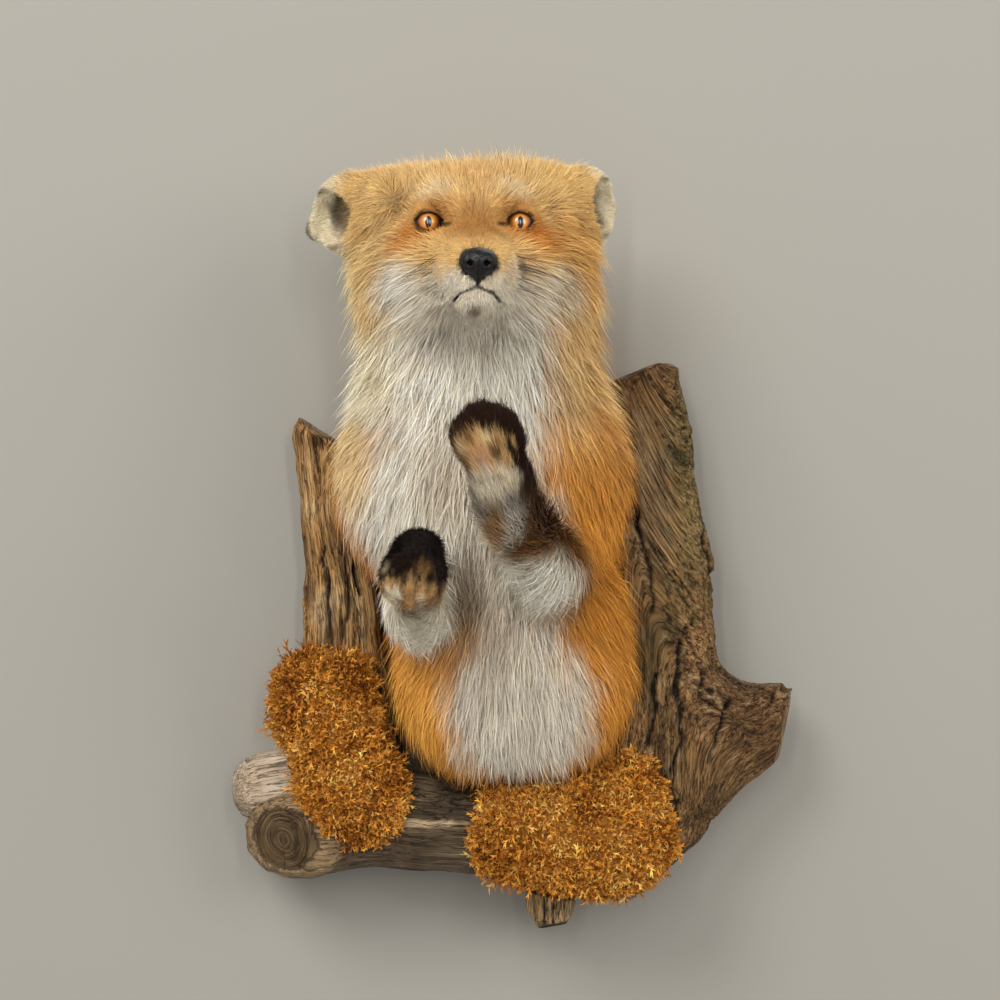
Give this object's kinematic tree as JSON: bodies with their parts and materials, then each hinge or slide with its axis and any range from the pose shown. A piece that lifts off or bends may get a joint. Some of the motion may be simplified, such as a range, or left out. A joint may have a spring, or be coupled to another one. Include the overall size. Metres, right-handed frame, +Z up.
{
  "type": "taxidermy red fox half-body wall mount on driftwood",
  "caption": "Mounted half-body red fox with raised forepaws on a wall base of driftwood and dried moss.",
  "frame": {"origin": "centre of the backboard's width on its back face, which lies on the wall, 42 mm above the board's centre", "axes": "+Y into the wall, +Z up, +X to the viewer's right, which is the fox's left"},
  "size_m": [0.3522, 0.2494, 0.4731],
  "materials": {
    "face_fur": "short golden fur",
    "pale_fur": "long cream fur",
    "orange_fur": "long orange fur",
    "dark_fur": "short black-brown fur",
    "glass_eye": "amber glass, polished",
    "nose_skin": "black, slightly glossy",
    "driftwood": "weathered, unfinished",
    "bleached_wood": "bleached, unfinished",
    "moss": "dried, orange-brown",
    "plywood": "raw plywood",
    "steel": "plain zinc"
  },
  "bodies": {
    "root": {"head": "face_fur", "neck": "pale_fur", "chest": "pale_fur", "belly": "orange_fur", "ear_left": "pale_fur", "ear_right": "pale_fur", "foreleg_left": "orange_fur", "foreleg_right": "orange_fur", "forepaw_left": "dark_fur", "forepaw_right": "dark_fur", "eye_left": "glass_eye", "eye_right": "glass_eye", "nose": "nose_skin", "driftwood_slab": "driftwood", "driftwood_log": "driftwood", "driftwood_post": "driftwood", "driftwood_peg": "driftwood", "driftwood_knob": "bleached_wood", "moss_left": "moss", "moss_right": "moss", "backboard": "plywood", "hanger_plate": "steel"}
  },
  "joints": []
}
